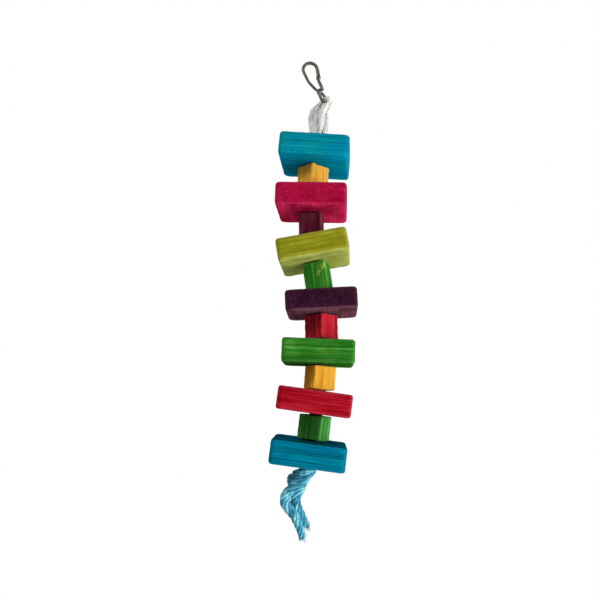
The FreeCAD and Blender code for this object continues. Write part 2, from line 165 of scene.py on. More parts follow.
# The rope: strands round a middle one, and the yarns twisted in each. A lay is the length of one turn.
ROPE_DIA = 0.005
STRANDS = 6
STRAND_RADIUS = 0.00092
STRAND_RING = 0.00158
STRAND_SLACK = 0.0001
STRAND_SIDES = 10
YARNS = 3
YARN_DEPTH = 0.045
YARN_LAY = 0.0075
ROPE_LAY = 0.034
TAIL_LAY = 0.026
WRAP_LAY = 0.03
TAIL_STEP = 0.0004
KNOT_STEP = 0.0005
ROPE_STEP = 0.0016
SPLINE_STEPS = 16
FINE_SHARE = 4
MOST_CUT_STEPS = 7
SIDE_HINT = (0.3, 1.0, 0.2)

# Heights on the rope: where the wood hides it, where the painted shade of the wood begins, and where it turns
# blue.
ROPE_HIDDEN = -0.068
ROPE_SHADE_TOP = -0.0650
ROPE_SHADE_FADE = 0.002
DYE_TOP = -0.2945
DYE_FADE = 0.001

# The loop under the eye. Its left leg's strands lie side by side in a fan, which opens from FAN_TOP to
# FAN_FULL and closes from FAN_NARROW to FAN_FOOT. Its right leg is flatter, and has a small curl.
LOOP_MIDDLE = 0.0135
LOOP_BLEND = 0.002
FAN_TOP = -0.0305
FAN_FULL = -0.0360
FAN_NARROW = -0.0425
FAN_FOOT = -0.0605
FAN_FADE = 0.007
FAN_MIDDLE = 2.4
FAN_WIDTH = 0.0016
FAN_CLOSES = 0.85
FAN_BACK_STEP = 0.0004
FAN_SAG = 0.0009
RIGHT_FULL = -0.0325
RIGHT_MIDDLE = 3
RIGHT_WIDTH = 0.00095
RIGHT_SHIFT = -0.0016
RIGHT_CLOSES = 0.25
FLAT_DEPTH = 0.6
FLAT_HEIGHT = 0.3
CURL_DEPTHS = (0.0310, 0.0340, 0.0380, 0.0420, 0.0460, 0.0495, 0.0530, 0.0560, 0.0600, 0.0635)
CURL_SHIFTS = (0.0, -0.0003, -0.0010, -0.0007, 0.0005, 0.0017, 0.0023, 0.0021, 0.0009, 0.0)
EYE_FOOT = -0.036
EYE_BLEND = 0.005
LOOP_THICK = 1.1
EYE_THINNER = 0.32

# Loose fibres: how deep they are rooted, and how thick they are.
FUZZ_ROOT = 0.0004
FUZZ_THICK = 0.00004
TUFT_ROOT = 0.0012
TUFT_THICK = 0.00007
TUFT_FIBRES = 110
TUFT_PLACE = -4

# The wood: the even mesh, the room round the rope's bore that stays as it is, and how far the sawn face
# lies inside the source's, in waves, in roughness, along edges, where they are knocked, and at corners.
VOXEL = 0.0006
BORE_ROOM = 0.0066
BORE_BLEND = 0.001
WAVE_DEPTH, WAVE_RUN = 0.00014, 0.013
ROUGH_DEPTH, ROUGH_RUN = 0.00005, 0.0021
KNOCK_DEPTH, KNOCK_RUN = 0.0004, 0.0028
EDGE_DEPTH, EDGE_REACH = 0.0002, 0.0022
CORNER_DEPTH, CORNER_REACH = 0.00075, 0.0045
FACE_FADE = (0.0009, 0.0002)

# The metal: the sharpest bend between faces that still looks smooth.
SMOOTH_BEND = math.radians(32)

# The floor and the lamps: name, place, target, size in metres and power in watts.
FLOOR_HALF = 6.0
FLOOR_DROP = 0.6
WORLD_LIGHT = 0.25
FLOOR_WHITE = 1.14
FLOOR_SHARE = 0.85
MIDDLE = (0.014, 0.0, -0.17)
LAMPS = [
    ("key", (0.87, -0.50, -0.29), MIDDLE, 0.45, 8.8),
    ("under", (0.75, -0.36, -0.80), MIDDLE, 0.8, 4.8),
    ("fill", (-0.75, -0.85, 0.15), MIDDLE, 0.8, 0.6),
    ("top", (-0.4, -0.42, 0.22), (0.012, 0.0, -0.045), 0.25, 2.0),
    ("back", (-0.5, 0.95, 0.1), MIDDLE, 0.8, 5.0),
    ("above", (0.30, 0.42, 0.78), MIDDLE, 0.6, 6.0),
]

# The look of each wooden piece, from the top down: its turn about the rope in degrees, its grain's
# direction, its dye's usual, deep, pale and worn colours, and where the photograph shows another, the
# painted light of its underside ("under", a lighter underside), the painted shade of its top ("over", a
# darker top) or the colour of its stains. "fine" and "saw" are how close the grain and the saw's lines lie,
# "slope" is the grain's slope in degrees, "band", "line" and "stains" are how dark bands, saw lines and
# stains get, and "ridges" and "marks" are how deep the grain and the saw's lines are. A scuff has a place
# on the piece and a radius.
LOOK_DEFAULTS = {"slope": 0, "fine": 520, "saw": 760, "band": 0.84, "line": 0.76, "stains": 0.55,
                 "ridges": 0.3, "marks": 0.4, "scuffs": ()}
LOOKS = {
    "block_turquoise": {
        "turn": -4.3, "grain": "x", "base": srgb(0, 129, 155), "deep": srgb(4, 100, 150),
        # "under" is painted light: a lighter colour on the underside.
        "pale": srgb(14, 148, 168), "worn": srgb(20, 182, 205), "under": srgb(0, 152, 194),
        "stain": srgb(14, 140, 128), "stains": 0.5, "line": 0.62},
    "spacer_yellow_upper": {
        "turn": -50.0, "grain": "z", "base": srgb(244, 182, 68), "deep": srgb(222, 150, 40),
        "pale": srgb(250, 202, 104), "worn": srgb(243, 198, 112), "line": 0.86},
    "block_crimson": {
        "turn": -3.8, "grain": "y", "base": srgb(172, 19, 63), "deep": srgb(146, 6, 47),
        # "under" is painted light: a lighter colour on the underside.
        "pale": srgb(188, 38, 83), "worn": srgb(202, 62, 110), "under": srgb(226, 46, 98),
        "stain": srgb(138, 4, 42), "stains": 0.75, "fine": 900, "saw": 1500, "line": 0.80,
        "ridges": 0.15, "marks": 0.2},
    "spacer_plum": {
        "turn": -7.0, "grain": "z", "base": srgb(104, 36, 56), "deep": srgb(70, 16, 34),
        "pale": srgb(128, 58, 78), "worn": srgb(146, 84, 100)},
    "block_lime": {
        "turn": -3.9, "grain": "x", "base": srgb(145, 145, 28), "deep": srgb(116, 114, 12),
        # "under" is painted light: a lighter colour on the underside.
        "pale": srgb(166, 168, 60), "worn": srgb(192, 194, 100), "under": srgb(184, 194, 98),
        "slope": 2},
    "spacer_green_upper": {
        "turn": -15.6, "grain": "z", "base": srgb(52, 146, 42), "deep": srgb(28, 110, 22),
        "pale": srgb(108, 186, 82), "worn": srgb(176, 206, 96),
        "scuffs": [((0.006, -0.0086, 0.0062), 0.0042), ((0.003, -0.0086, 0.0022), 0.003)]},
    "block_purple": {
        "turn": -2.8, "grain": "y", "base": srgb(56, 24, 43), "deep": srgb(38, 10, 28),
        # "under" is painted light: a lighter colour on the underside.
        "pale": srgb(76, 40, 60), "worn": srgb(128, 80, 100), "under": srgb(126, 78, 94),
        "stain": srgb(32, 8, 25), "stains": 0.7, "fine": 900, "saw": 1500, "ridges": 0.15,
        "marks": 0.2},
    "spacer_red": {
        "turn": -42.5, "grain": "z", "base": srgb(196, 40, 54), "deep": srgb(156, 10, 24),
        "pale": srgb(208, 66, 80), "worn": srgb(214, 92, 102)},
    "block_green": {
        "turn": -1.8, "grain": "x", "base": srgb(49, 126, 32), "deep": srgb(22, 92, 18),
        "pale": srgb(98, 162, 74), "worn": srgb(104, 170, 96), "fine": 700, "saw": 820, "line": 0.66,
        "ridges": 0.5, "marks": 0.7},
    "spacer_yellow_lower": {
        "turn": -67.0, "grain": "z", "base": srgb(238, 172, 52), "deep": srgb(220, 150, 32),
        "pale": srgb(246, 194, 84), "worn": srgb(247, 206, 116), "line": 0.9},
    "block_red": {
        "turn": 0.4, "grain": "x", "base": srgb(166, 18, 36), "deep": srgb(136, 4, 22),
        "pale": srgb(186, 44, 58), "worn": srgb(212, 80, 92), "slope": 4, "line": 0.85},
    "spacer_green_lower": {
        "turn": -24.0, "grain": "z", "base": srgb(62, 142, 60), "deep": srgb(30, 86, 18),
        "pale": srgb(86, 162, 84), "worn": srgb(104, 172, 92)},
    "block_blue": {
        "turn": -1.7, "grain": "x", "base": srgb(0, 121, 146), "deep": srgb(0, 98, 138),
        # "over" is painted shade: a darker colour on the top.
        "pale": srgb(14, 144, 162), "worn": srgb(28, 156, 172), "over": srgb(6, 82, 88), "saw": 820,
        "line": 0.6, "marks": 0.5},
}


def place_camera():
    """The photograph's camera, in the model's own frame."""
    data = bpy.data.cameras.new("camera")
    data.sensor_fit = "HORIZONTAL"
    data.sensor_width = CAMERA_SENSOR
    data.lens = CAMERA_LENS
    data.clip_start = CAMERA_NEAR
    camera = bpy.data.objects.new("camera", data)
    bpy.context.collection.objects.link(camera)
    columns = (CAMERA_RIGHT, CAMERA_UP, CAMERA_BACK, CAMERA_PLACE)
    rows = [[column[row] for column in columns] for row in range(3)]
    camera.matrix_world = Matrix(rows + [[0, 0, 0, 1]])
    bpy.context.scene.camera = camera


def new_piece(name, mesh, material):
    """An object with one material, linked to the scene."""
    mesh.materials.clear()
    mesh.materials.append(material)
    piece = bpy.data.objects.new(name, mesh)
    bpy.context.collection.objects.link(piece)
    return piece


def smooth_line(points):
    """The points along a route's smooth curve, which strands and tubes follow."""
    curve = bpy.data.curves.new("route", "CURVE")
    curve.dimensions = "3D"
    spline = curve.splines.new("NURBS")
    spline.points.add(len(points) - 1)
    for knot, place in zip(spline.points, points):
        knot.co = (*place, 1.0)
    spline.order_u = 3
    spline.use_endpoint_u = True
    spline.resolution_u = SPLINE_STEPS
    holder = bpy.data.objects.new("route", curve)
    bpy.context.collection.objects.link(holder)
    mesh = bpy.data.meshes.new_from_object(holder)
    line = np.array([vertex.co for vertex in mesh.vertices])
    bpy.data.objects.remove(holder)
    bpy.data.meshes.remove(mesh)
    bpy.data.curves.remove(curve)
    return line


def lengths_of(points):
    """The distance along a line at each of its points."""
    return np.r_[0, np.cumsum(np.linalg.norm(np.diff(points, axis=0), axis=1))]


def along(line, step, fine=None):
    """A line walked in even steps, with shorter steps where fine(point) is true."""
    lengths = lengths_of(line)

    def point_at(place):
        return np.stack([np.interp(place, lengths, line[:, axis]) for axis in range(3)], axis=-1)

    places = [0.0]
    while places[-1] < lengths[-1]:
        short = fine is not None and fine(point_at(places[-1]))
        places.append(places[-1] + (step / FINE_SHARE if short else step))
    places[-1] = lengths[-1]
    places = np.array(places)
    return point_at(places), places


def frames_along(points):
    """Two directions square to a line at each of its points, carried along it without twist."""
    tangents = np.gradient(points, axis=0)
    tangents /= np.linalg.norm(tangents, axis=1)[:, None]
    first = np.cross(tangents[0], SIDE_HINT)
    first /= np.linalg.norm(first)
    sides = [first]
    for tangent in tangents[1:]:
        side = sides[-1] - tangent * sides[-1].dot(tangent)
        sides.append(side / np.linalg.norm(side))
    sides = np.array(sides)
    return tangents, sides, np.cross(tangents, sides)


class Shape:
    """Vertices, faces and texture coordinates gathered for one mesh."""

    def __init__(self):
        self.points = []
        self.faces = []
        self.uv = []
        self.tones = []
        self.count = 0

    def tube(self, rings, lengths, tone=0.5):
        """A closed tube from a list of rings of points, with a tone that lightens or darkens its dye."""
        steps, sides, _ = rings.shape
        self.tones.append(np.full(steps * sides, tone))
        self.points.append(rings.reshape(-1, 3))
        round_share = np.tile(np.arange(sides) / sides, steps)
        self.uv.append(np.stack([round_share, np.repeat(lengths, sides)], axis=1))
        ring = np.arange(steps * sides).reshape(steps, sides) + self.count
        ahead = np.roll(ring, -1, axis=1)
        quads = np.stack([ring[:-1], ahead[:-1], ahead[1:], ring[1:]], axis=-1).reshape(-1, 4)
        self.faces += quads.tolist()
        self.faces += [ring[0][::-1].tolist(), ring[-1].tolist()]
        self.count += steps * sides

    def build(self, name, material):
        """The mesh object, with the tubes' texture coordinates and tones."""
        mesh = bpy.data.meshes.new(name)
        mesh.from_pydata(np.concatenate(self.points).tolist(), [], self.faces)
        uv = np.concatenate(self.uv)
        layer = mesh.uv_layers.new(name="strand")
        corners = np.empty(len(mesh.loops), dtype=np.int32)
        mesh.loops.foreach_get("vertex_index", corners)
        layer.data.foreach_set("uv", uv[corners].ravel())
        mesh.attributes.new("tone", "FLOAT", "POINT").data.foreach_set("value", np.concatenate(self.tones))
        mesh.polygons.foreach_set("use_smooth", [True] * len(mesh.polygons))
        return new_piece(name, mesh, material)


def ripple(lengths, number, depth, run, step):
    """A small wave along a strand, which starts elsewhere on each strand."""
    return depth * np.sin(lengths / run + number * step)


def strand_bundle(shape, points, lengths, phase, shift=None, splay=0.0, sides=STRAND_SIDES, size=1.0,
                  lay=ROPE_LAY):
    """A loosely laid rope: strands that turn about a line, each made of a few twisted yarns.
    shift(points, offsets, number) may move a strand aside, and splay opens them at the far end."""
    tangents, across, above = frames_along(points)
    starts = [(STRAND_RING, phase + TURN * k / STRANDS) for k in range(STRANDS)] + [(0.0, 0.0)]
    size = np.broadcast_to(size, lengths.shape)
    near_end = np.clip((lengths - lengths[0]) / (lengths[-1] - lengths[0]) * 4 - 3, 0, 1)
    around = np.arange(sides) * TURN / sides
    circle = (np.cos(around)[None, :, None] * across[:, None, :]
              + np.sin(around)[None, :, None] * above[:, None, :])
    for number, (ring, turn) in enumerate(starts):
        angle = turn + TURN * lengths / lay
        wander = (1 + ripple(lengths, number, depth=0.06, run=0.0031, step=1.7)
                  + ripple(lengths, number, depth=0.04, run=0.0013, step=1.0))
        reach = (ring + STRAND_SLACK) * size * (1 + splay * near_end ** 2) * wander
        offsets = across * (np.cos(angle) * reach)[:, None] + above * (np.sin(angle) * reach)[:, None]
        if shift is not None:
            offsets = shift(points, offsets, number)
        girth = STRAND_RADIUS * size * (1 + ripple(lengths, number, depth=0.05, run=0.0021, step=2.3))
        last = len(points)
        if splay:
            last -= int(DICE.integers(0, MOST_CUT_STEPS))
            girth = girth * (1 - 0.3 * near_end ** 3)
        twist = YARNS * around[None, :] + TURN * lengths[:, None] / YARN_LAY + number
        radii = girth[:, None] * (1 + YARN_DEPTH * np.cos(twist))
        rings = (points + offsets)[:, None, :] + radii[:, :, None] * circle
        shape.tube(rings[:last], lengths[:last], DICE.uniform(0, 1))
    return tangents, across, above


def add_fuzz(shape, points, frames, amount, reach, wanted=None):
    """Loose cotton fibres that stand off a rope's surface and bend back to it."""
    tangents, across, above = frames
    share = np.linspace(0, 1, 5)[:, None]
    for _ in range(amount):
        place = int(DICE.integers(1, len(points) - 1))
        if wanted is not None and not wanted(points[place]):
            continue
        angle = DICE.uniform(0, TURN)
        out = across[place] * math.cos(angle) + above[place] * math.sin(angle)
        drift = tangents[place] * DICE.uniform(-1, 1) + np.cross(tangents[place], out) * DICE.uniform(-1, 1)
        length = DICE.uniform(0.4, 1.0) * reach
        start = points[place] + out * (ROPE_DIA / 2 - FUZZ_ROOT)
        hair = start + out * length * 0.7 * (share - 0.45 * share ** 2) + drift * length * share ** 1.5
        corners = np.array([out, drift * 0.3 - out * 0.5, -drift * 0.3 - out * 0.5]) * FUZZ_THICK
        shape.tube(hair[:, None, :] + corners[None, :, :] * (1.1 - share)[:, :, None], lengths_of(hair))


def add_tuft(shape, end, tangent, amount):
    """The frayed cotton at a cut rope end."""
    corners = np.array([(1, 0, 0.3), (-0.5, 0.8, 0), (-0.5, -0.8, -0.3)]) * TUFT_THICK
    share = np.linspace(0, 1, 4)[:, None]
    for _ in range(amount):
        aside = DICE.uniform(-1, 1, 3)
        start = end + aside * ROPE_DIA * 0.34 - tangent * TUFT_ROOT
        reach = (tangent + aside * 0.35) * DICE.uniform(0.0012, 0.0030)
        hair = start + reach * share + DICE.uniform(-1, 1, 3) * 0.0005 * share ** 2
        shape.tube(hair[:, None, :] + corners[None, :, :] * (1.2 - share)[:, :, None], lengths_of(hair))


def shader(name):
    """A new material, its node tree and its surface shader."""
    material = bpy.data.materials.new(name)
    material.use_nodes = True
    tree = material.node_tree
    return material, tree, tree.nodes["Principled BSDF"]


def add(tree, kind, settings=None, values=None, links=None):
    """A node with its settings, its fixed input values and its incoming links."""
    node = tree.nodes.new(kind)
    for key, value in (settings or {}).items():
        setattr(node, key, value)
    for key, value in (values or {}).items():
        node.inputs[key].default_value = value
    for key, socket in (links or {}).items():
        tree.links.new(socket, node.inputs[key])
    return node


def noise(tree, vector, scale, detail, rough, distortion=0.0):
    """A noise from 0 to 1."""
    values = {"Scale": scale, "Detail": detail, "Roughness": rough, "Distortion": distortion}
    return add(tree, "ShaderNodeTexNoise", values=values, links={"Vector": vector}).outputs["Fac"]


def fade(tree, value, start, end):
    """A factor that goes from 0 to 1 as a value goes from start to end."""
    values = {"From Min": start, "From Max": end}
    return add(tree, "ShaderNodeMapRange", values=values, links={"Value": value}).outputs["Result"]


def math_node(tree, operation, first, second):
    """Two values combined; second is a number or a socket."""
    node = add(tree, "ShaderNodeMath", {"operation": operation}, links={0: first})
    if isinstance(second, bpy.types.NodeSocket):
        tree.links.new(second, node.inputs[1])
    else:
        node.inputs[1].default_value = second
    return node.outputs[0]


def bump(tree, height, strength, distance, normal=None):
    """A bump, on top of another one where its normal is given."""
    links = {"Height": height} if normal is None else {"Height": height, "Normal": normal}
    values = {"Strength": strength, "Distance": distance}
    return add(tree, "ShaderNodeBump", values=values, links=links).outputs["Normal"]


def grey(value):
    return (value, value, value)


def ramp(tree, factor, stops):
    """The colours that a factor runs through; each stop has a position and a colour."""
    node = add(tree, "ShaderNodeValToRGB", links={"Fac": factor})
    elements = node.color_ramp.elements
    while len(elements) < len(stops):
        elements.new(0.5)
    for element, (position, colour) in zip(elements, stops):
        element.position = position
        element.color = (*colour, 1.0)
    return node.outputs["Color"]


def grey_ramp(tree, factor, stops):
    return ramp(tree, factor, [(position, grey(value)) for position, value in stops])


def blend_colour(tree, mode, factor, first, second):
    """Mixes two colours; factor is a number or a socket."""
    node = add(tree, "ShaderNodeMix", {"data_type": "RGBA", "blend_type": mode})
    for index, value in ((0, factor), (6, first), (7, second)):
        if isinstance(value, bpy.types.NodeSocket):
            tree.links.new(value, node.inputs[index])
        elif index == 0:
            node.inputs[index].default_value = value
        else:
            node.inputs[index].default_value = (*value, 1.0)
    return node.outputs[2]


def shade(tree, colour, factor, stops):
    """A colour made darker or lighter by a grey that follows a factor."""
    return blend_colour(tree, "MULTIPLY", 1.0, colour, grey_ramp(tree, factor, stops))


def dyed_wood(name, place, look, seed, half_height):
    """Dyed sawn wood: long grain, fine saw lines, pores, uneven dye and paler worn edges, with painted light
    on the underside and painted shade on the top where the look asks for them.
    """
    material, tree, surface = shader(name)
    here = add(tree, "ShaderNodeTexCoord").outputs["Object"]
    local = add(tree, "ShaderNodeMapping", {"vector_type": "TEXTURE"},
                {"Location": place.to_translation(), "Rotation": place.to_euler("XYZ")},
                {"Vector": here}).outputs["Vector"]

    def grain(long_scale, cross_scale, detail, rough, distortion, shift):
        """A noise drawn out along the grain."""
        scales = [cross_scale] * 3
        scales["xyz".index(look["grain"])] = long_scale
        values = {"Scale": scales, "Location": (shift, shift * 0.7, shift * 1.3),
                  "Rotation": (0, math.radians(look["slope"]), 0)}
        mapped = add(tree, "ShaderNodeMapping", values=values, links={"Vector": local})
        return noise(tree, mapped.outputs["Vector"], 1.0, detail, rough, distortion)

    streaks = grain(20, look["fine"], 5, 0.66, 0.3, seed)
    bands = grain(8, 80, 3, 0.5, 0.5, seed + 3.1)
    blotches = grain(60, 70, 3, 0.55, 0.2, seed + 7.7)
    pores = grain(160, 2600, 2, 0.5, 0.0, seed + 11.3)
    saw = grain(4, look["saw"], 2, 0.5, 0.0, seed + 17.9)
    fibres = grain(70, 2900, 4, 0.7, 0.4, seed + 29.3)
    colour = ramp(tree, streaks, [(0.32, look["deep"]), (0.5, look["base"]), (0.70, look["pale"])])
    # Painted light and shade: the underside gets a lighter colour and the top a darker one, faded in near
    # each face.
    for side, sign in (("under", -1), ("over", 1)):
        if side in look:
            height = add(tree, "ShaderNodeSeparateXYZ", links={"Vector": local}).outputs["Z"]
            painted_face_mask = fade(tree, height, *[sign * (half_height - depth) for depth in FACE_FADE])
            face = shade(tree, look[side], streaks, [(0.35, 0.86), (0.65, 1.05)])
            colour = blend_colour(tree, "MIX", painted_face_mask, colour, face)
    colour = shade(tree, colour, bands, [(0.36, look["band"]), (0.62, 1.05)])
    colour = shade(tree, colour, saw, [(0.40, look["line"]), (0.58, 1.08)])
    colour = shade(tree, colour, fibres, [(0.34, 0.74), (0.5, 1.0), (0.66, 1.16)])
    stains = grey_ramp(tree, blotches, [(0.42, 0), (0.66, look["stains"])])
    colour = blend_colour(tree, "MIX", stains, colour, look.get("stain", look["deep"]))
    dots = grey_ramp(tree, pores, [(0.60, 0), (0.70, 0.3)])
    colour = blend_colour(tree, "MIX", dots, colour, look["deep"])
    for spot, reach in look["scuffs"]:
        away = add(tree, "ShaderNodeVectorMath", {"operation": "DISTANCE"}, {1: spot}, {0: local})
        near = fade(tree, away.outputs["Value"], reach, reach * 0.4)
        patches = grain(300, 620, 3, 0.6, 1.2, seed + 23.0)
        worn = grey_ramp(tree, patches, [(0.47, 0), (0.56, 0.9)])
        scuffed = blend_colour(tree, "MULTIPLY", 1.0, worn, near)
        colour = blend_colour(tree, "MIX", scuffed, colour, look["worn"])
    wear = add(tree, "ShaderNodeAttribute", {"attribute_name": "wear"}).outputs["Fac"]
    colour = blend_colour(tree, "MIX", wear, colour, look["worn"])
    tree.links.new(colour, surface.inputs["Base Color"])
    tree.links.new(grey_ramp(tree, streaks, [(0.3, 0.9), (0.7, 0.72)]), surface.inputs["Roughness"])
    surface.inputs["Specular IOR Level"].default_value = 0.0
    normal = bump(tree, streaks, look["ridges"], 0.0005)
    normal = bump(tree, saw, look["marks"], 0.0004, normal)
    normal = bump(tree, fibres, 0.35, 0.0002, normal)
    tree.links.new(normal, surface.inputs["Normal"])
    return material


def cotton(name, stops, groove_shade, soft, shaded_in_wood=False):
    """Twisted cotton: fibres along each strand, with painted shade in the grooves between them, dye that
    takes unevenly, and a soft sheen. The white rope has painted shade where it runs in the wood, and is
    dyed under it."""
    material, tree, surface = shader(name)
    uv = add(tree, "ShaderNodeUVMap", {"uv_map": "strand"}).outputs["UV"]
    here = add(tree, "ShaderNodeTexCoord").outputs["Object"]
    leaned = add(tree, "ShaderNodeMapping", values={"Scale": (24, 420, 1), "Rotation": (0, 0, 0.5)},
                 links={"Vector": uv}).outputs["Vector"]
    fibres = noise(tree, leaned, 1.0, 5, 0.7)
    dye = noise(tree, here, 150.0, 3, 0.6)
    tone = add(tree, "ShaderNodeAttribute", {"attribute_name": "tone"}).outputs["Fac"]
    tone = add(tree, "ShaderNodeMapRange", values={"To Min": -0.16, "To Max": 0.16}, links={"Value": tone})
    colour = ramp(tree, math_node(tree, "ADD", dye, tone.outputs["Result"]), stops)
    # Painted shade: the fibre pattern's darker streaks stand for shade in the grooves between fibres.
    lines = ramp(tree, fibres, [(0.32, groove_shade), (0.58, grey(1.0))])
    colour = blend_colour(tree, "MULTIPLY", 1.0, colour, lines)
    # Painted shade: from the top block down, where the rope runs through the wood and shows in the slits
    # between pieces, it is painted dark brown-grey.
    if shaded_in_wood:
        height = add(tree, "ShaderNodeSeparateXYZ", links={"Vector": here}).outputs["Z"]
        wood_shade_mask = fade(tree, height, ROPE_SHADE_TOP, ROPE_SHADE_TOP - ROPE_SHADE_FADE)
        colour = blend_colour(tree, "MIX", wood_shade_mask, colour, srgb(70, 52, 52))
        dyed = fade(tree, height, DYE_TOP, DYE_TOP - DYE_FADE)
        colour = blend_colour(tree, "MIX", dyed, colour, srgb(40, 150, 185))
    tree.links.new(colour, surface.inputs["Base Color"])
    surface.inputs["Roughness"].default_value = 0.9
    surface.inputs["Specular IOR Level"].default_value = 0.15
    surface.inputs["Sheen Weight"].default_value = soft
    surface.inputs["Sheen Roughness"].default_value = 0.6
    tree.links.new(bump(tree, fibres, 0.5, 0.0002), surface.inputs["Normal"])
    return material


def plated_metal(name, dark, light, smoothest, roughest):
    """Plated wire and sheet: slightly clouded plating."""
    material, tree, surface = shader(name)
    here = add(tree, "ShaderNodeTexCoord").outputs["Object"]
    clouds = noise(tree, here, 120.0, 2, 0.5)
    tree.links.new(ramp(tree, clouds, [(0.35, dark), (0.65, light)]), surface.inputs["Base Color"])
    rough = grey_ramp(tree, clouds, [(0.3, smoothest), (0.7, roughest)])
    tree.links.new(rough, surface.inputs["Roughness"])
    surface.inputs["Metallic"].default_value = 1.0
    return material


# The groove colours of both cottons are painted shade between the fibres.
WHITE_COTTON = cotton("cotton_white", [(0.3, srgb(222, 222, 215)), (0.6, srgb(246, 246, 242))],
                      groove_shade=grey(0.68), soft=0.2, shaded_in_wood=True)
BLUE_COTTON = cotton("cotton_blue", [(0.37, srgb(10, 120, 148)), (0.53, srgb(56, 166, 192)),
                                     (0.71, srgb(150, 218, 230))], groove_shade=srgb(176, 206, 210), soft=0.25)


def make_tail(name, node, route, phase):
    """One free end of the rope, thick where it leaves the knot and frayed where it was cut."""
    points, lengths = along(smooth_line(route), TAIL_STEP)
    shape = Shape()
    size = 1.42 - 0.32 * np.clip(lengths / lengths[-1] * 1.6 - 0.5, 0, 1)
    frames = strand_bundle(shape, points, lengths, phase, splay=0.12, size=size, lay=TAIL_LAY)
    add_fuzz(shape, points, frames, 220, 0.0022)
    add_tuft(shape, points[TUFT_PLACE], frames[0][TUFT_PLACE], TUFT_FIBRES)
    tail = shape.build(name, BLUE_COTTON)
    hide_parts(node)
    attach(tail, "rope")


def fan_out(points, offsets, number):
    """Moves a strand in the loop under the eye: into the fan of the left leg, or the right leg's curl."""
    across, height = points[:, 0], points[:, 2]
    left = np.clip((LOOP_MIDDLE - across) / LOOP_BLEND, 0, 1)
    right = 1 - left
    full = FAN_FULL * left + RIGHT_FULL * right
    opened = np.clip((FAN_TOP - height) / (FAN_TOP - full), 0, 1)
    opened = opened * np.clip((height - FAN_FOOT) / FAN_FADE, 0, 1)
    opened = opened * opened * (3 - 2 * opened)
    low = np.clip((FAN_NARROW - height) / (FAN_NARROW - FAN_FOOT), 0, 1)
    aside = (number - FAN_MIDDLE) * FAN_WIDTH * left * (1 - FAN_CLOSES * low)
    aside += ((number - RIGHT_MIDDLE) * RIGHT_WIDTH + RIGHT_SHIFT) * right * (1 - RIGHT_CLOSES * low)
    back = offsets[:, 1] * FLAT_DEPTH - FAN_BACK_STEP * number * left
    rise = offsets[:, 2] * FLAT_HEIGHT + FAN_SAG * math.sin(number * 2.1) * left
    flat = np.stack([aside, back, rise], axis=1)
    moved = offsets + (flat - offsets) * opened[:, None]
    moved[:, 0] += np.interp(-height, CURL_DEPTHS, CURL_SHIFTS) * right
    return moved


def make_rope():
    """The rope through the blocks and over the eye: thinner over the eye, where it is drawn tight."""
    def seen(point):
        return point[2] > ROPE_HIDDEN

    points, lengths = along(smooth_line(ROPE_ROUTE), ROPE_STEP, seen)
    shape = Shape()
    height = points[:, 2]
    size = LOOP_THICK - EYE_THINNER * np.clip((height - EYE_FOOT) / EYE_BLEND, 0, 1)
    size = np.where(height < ROPE_SHADE_TOP, 1.0, size)
    frames = strand_bundle(shape, points, lengths, 0.4, shift=fan_out, sides=8, size=size)
    add_fuzz(shape, points, frames, 420, 0.0016, seen)
    rope = shape.build("rope_strands", WHITE_COTTON)
    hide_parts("rope")
    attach(rope, "rope")


def make_knot():
    """The knot: two ropes that cross under the last block, with two loops of rope drawn round them."""
    shape = Shape()
    for number, route in enumerate(KNOT_LEGS):
        points, lengths = along(smooth_line(route), KNOT_STEP)
        frames = strand_bundle(shape, points, lengths, number * 1.3, size=1.3, lay=TAIL_LAY)
        add_fuzz(shape, points, frames, 90, 0.0018)
    for centre, tilt, radius, start in KNOT_WRAPS:
        place = Matrix.Translation(centre) @ Matrix.Rotation(math.radians(-tilt), 4, "Y")
        angle = start + np.linspace(0, WRAP_TURNS * TURN, WRAP_POINTS)
        rise = WRAP_RISE * np.linspace(-1, 1, WRAP_POINTS)
        local = np.stack([radius * np.cos(angle), radius * np.sin(angle), rise], axis=1)
        points, lengths = along(np.array([place @ Vector(point) for point in local]), KNOT_STEP)
        frames = strand_bundle(shape, points, lengths, start, size=1.12, lay=WRAP_LAY)
        add_fuzz(shape, points, frames, 90, 0.0018)
    knot = shape.build("rope_knot_turns", BLUE_COTTON)
    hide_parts("rope_knot")
    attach(knot, "rope")


def lattice_noise(points, seed):
    """Smooth seeded noise from -1 to 1 at each point."""
    base = np.floor(points).astype(np.int64)
    share = points - base
    share = share * share * (3 - 2 * share)
    total = np.zeros(len(points))
    for corner in range(8):
        step = np.array([corner & 1, corner >> 1 & 1, corner >> 2 & 1])
        cell = (base + step) * (73856093, 19349663, 83492791)
        mixed = cell[:, 0] ^ cell[:, 1] ^ cell[:, 2] ^ (seed + 1) * 26544357
        mixed = (mixed ^ mixed >> 13) * 1274126177 & 0x7FFFFFFF
        value = (mixed >> 8 & 0xFFFF) / 32767.5 - 1
        total += value * np.prod(np.where(step == 1, share, 1 - share), axis=1)
    return total


def merged_copy(mesh):
    """A copy of a CAD mesh in which neighbouring faces share their vertices, in a bmesh."""
    work = bmesh.new()
    work.from_mesh(mesh)
    bmesh.ops.remove_doubles(work, verts=work.verts, dist=SAME_PLACE)
    return work


def even_mesh(name, place):
    """A wooden piece's CAD mesh in its own frame, remeshed evenly."""
    source = NODES[name].data.copy()
    source.transform(place.inverted())
    work = merged_copy(source)
    work.to_mesh(source)
    work.free()
    maker = bpy.data.objects.new("maker", source)
    bpy.context.collection.objects.link(maker)
    remesh = maker.modifiers.new("even", "REMESH")
    remesh.mode = "VOXEL"
    remesh.voxel_size = VOXEL
    bpy.context.view_layer.update()
    mesh = bpy.data.meshes.new_from_object(maker.evaluated_get(bpy.context.evaluated_depsgraph_get()))
    bpy.data.objects.remove(maker)
    return mesh


